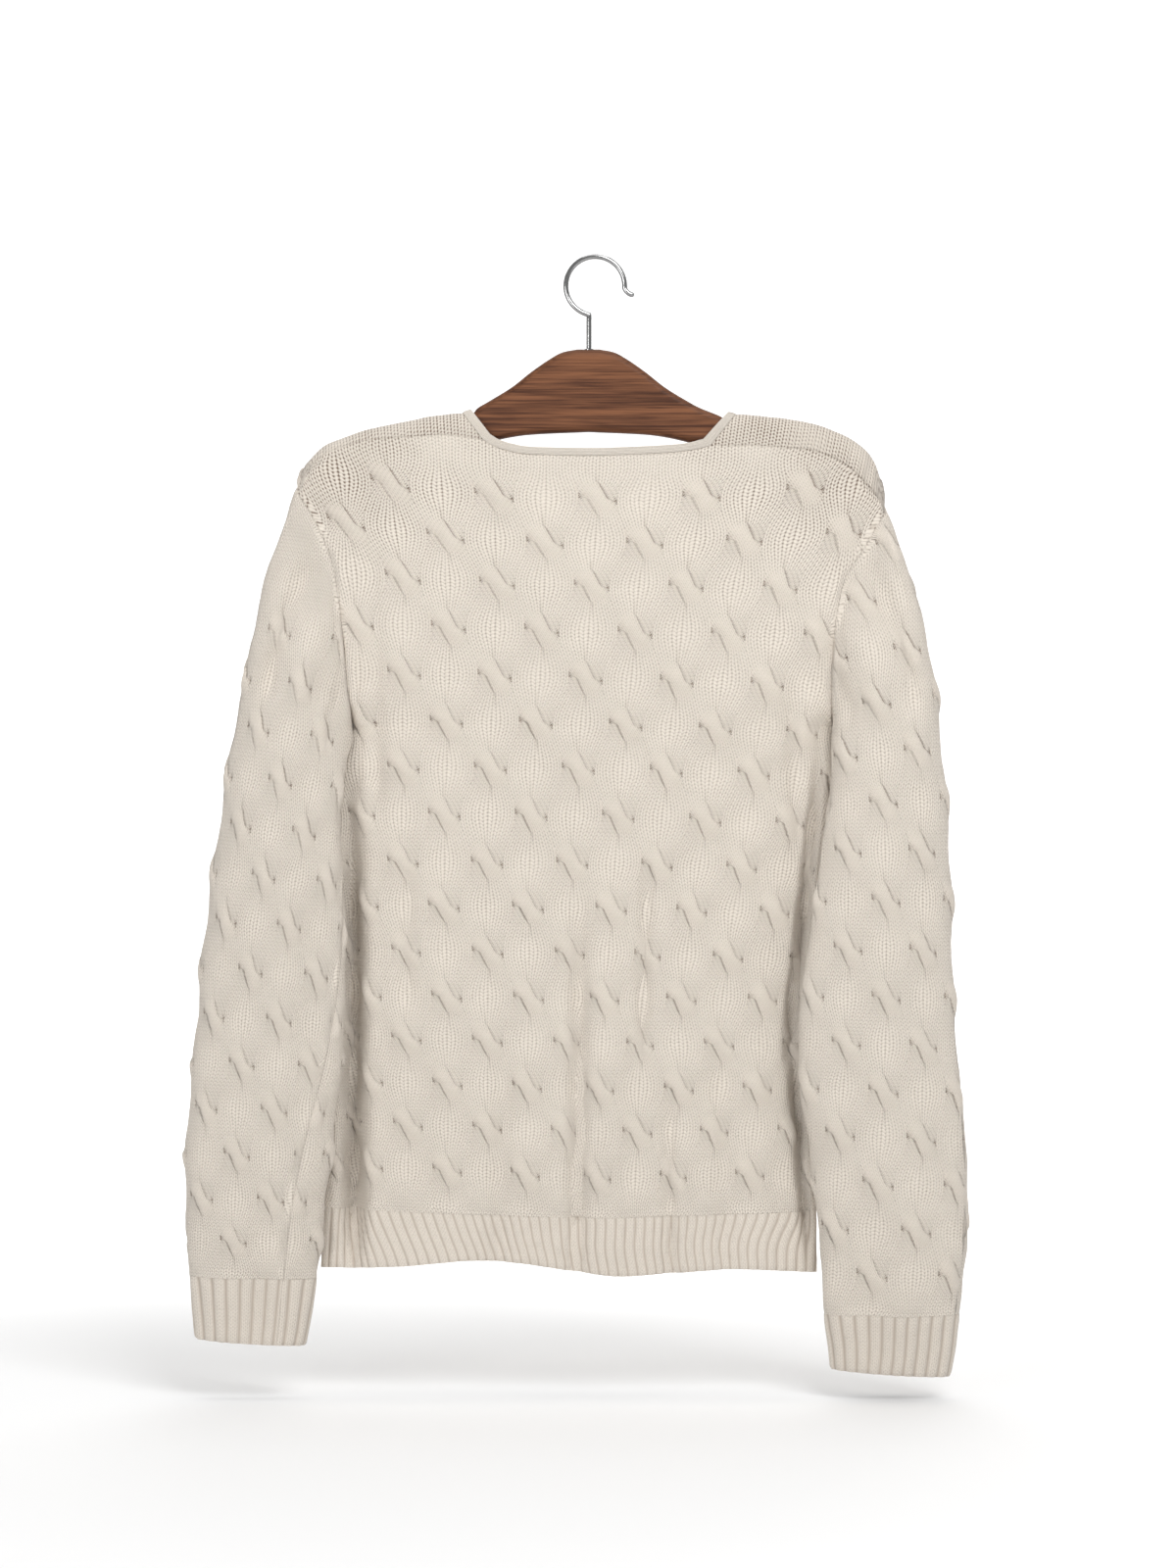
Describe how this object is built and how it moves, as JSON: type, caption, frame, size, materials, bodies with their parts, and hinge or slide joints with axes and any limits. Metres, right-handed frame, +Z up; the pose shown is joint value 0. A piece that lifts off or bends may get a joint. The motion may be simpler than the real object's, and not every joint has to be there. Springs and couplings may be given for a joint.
{
  "type": "cardigan on a hanger",
  "caption": "Long-sleeved ecru cable-knit cardigan, buttoned, hanging on a brown wooden hanger with a steel hook.",
  "frame": {"origin": "the inside top of the hanger's hook, where it bears on a rail", "axes": "+Z up; the cardigan's back faces -Y and its buttoned front +Y; the wearer's left sleeve is at -X"},
  "size_m": [0.555, 0.0826, 0.7996],
  "materials": {
    "cable_knit": "matt ecru wool and cotton knit, all-over staggered cables",
    "rib_knit": "matt ecru two-by-two rib",
    "button": "plain horn-like, satin",
    "wood": "brown stained and varnished, fine grain",
    "hook_steel": "bright drawn wire"
  },
  "bodies": {
    "root": {"back": "cable_knit", "front_left": "cable_knit", "front_right": "cable_knit", "sleeve_left": "cable_knit", "sleeve_right": "cable_knit", "hem_rib_back": "rib_knit", "hem_rib_front_left": "rib_knit", "hem_rib_front_right": "rib_knit", "cuff_left": "rib_knit", "cuff_right": "rib_knit", "neck_trim": "rib_knit", "button_band": "rib_knit", "buttonhole_band": "rib_knit", "button_1": "button", "button_2": "button", "button_3": "button", "button_4": "button", "button_5": "button", "button_6": "button", "hanger_wood": "wood", "hanger_hook": "hook_steel"}
  },
  "joints": []
}
